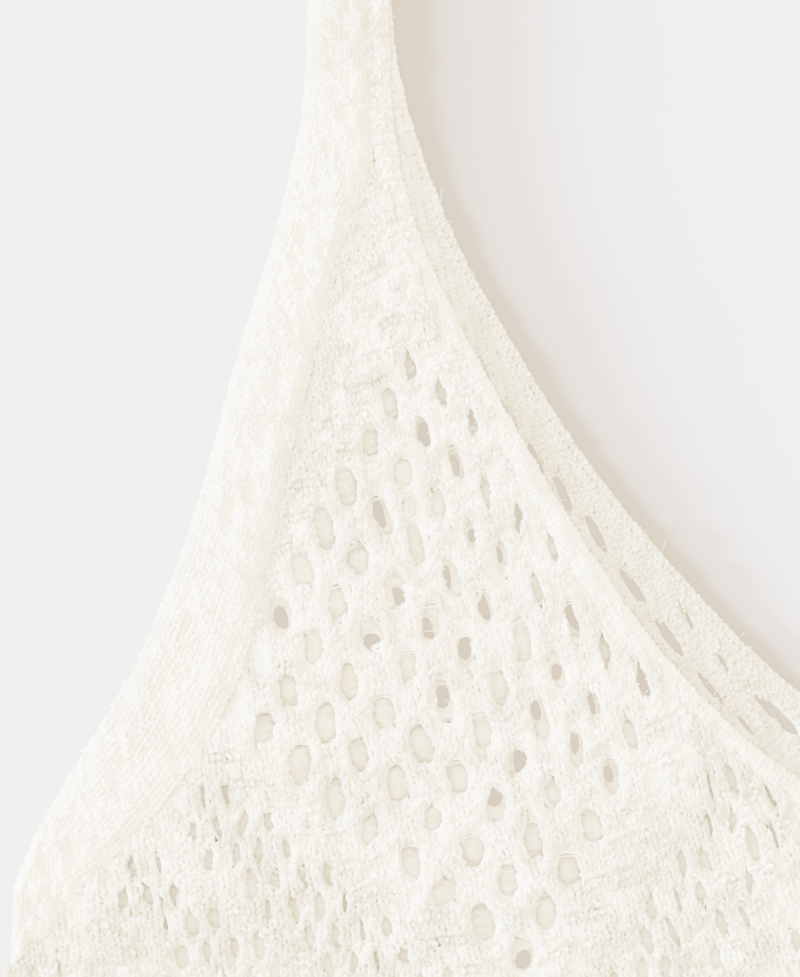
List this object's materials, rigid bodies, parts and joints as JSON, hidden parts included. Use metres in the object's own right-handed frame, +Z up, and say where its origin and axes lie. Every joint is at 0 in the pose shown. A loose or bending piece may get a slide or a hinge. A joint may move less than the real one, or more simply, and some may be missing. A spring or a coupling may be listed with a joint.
{
  "type": "knitted lace maxi dress",
  "caption": "Sleeveless knitted lace maxi dress with thin straps and a deep scoop neck, laid flat on its back.",
  "frame": {"origin": "centre of the bounding box's underside, on the surface that the dress lies on", "axes": "+Z up from the surface, front of the dress uppermost; +Y from the hem to the straps; +X to the right as seen from above"},
  "size_m": [0.57, 1.302, 0.0074],
  "materials": {
    "cotton_knit": "matt cream cotton, plain and lace knit"
  },
  "bodies": {
    "root": {"front_panel": "cotton_knit", "back_panel": "cotton_knit", "left_armhole_band": "cotton_knit", "right_armhole_band": "cotton_knit", "neck_binding": "cotton_knit"}
  },
  "joints": []
}
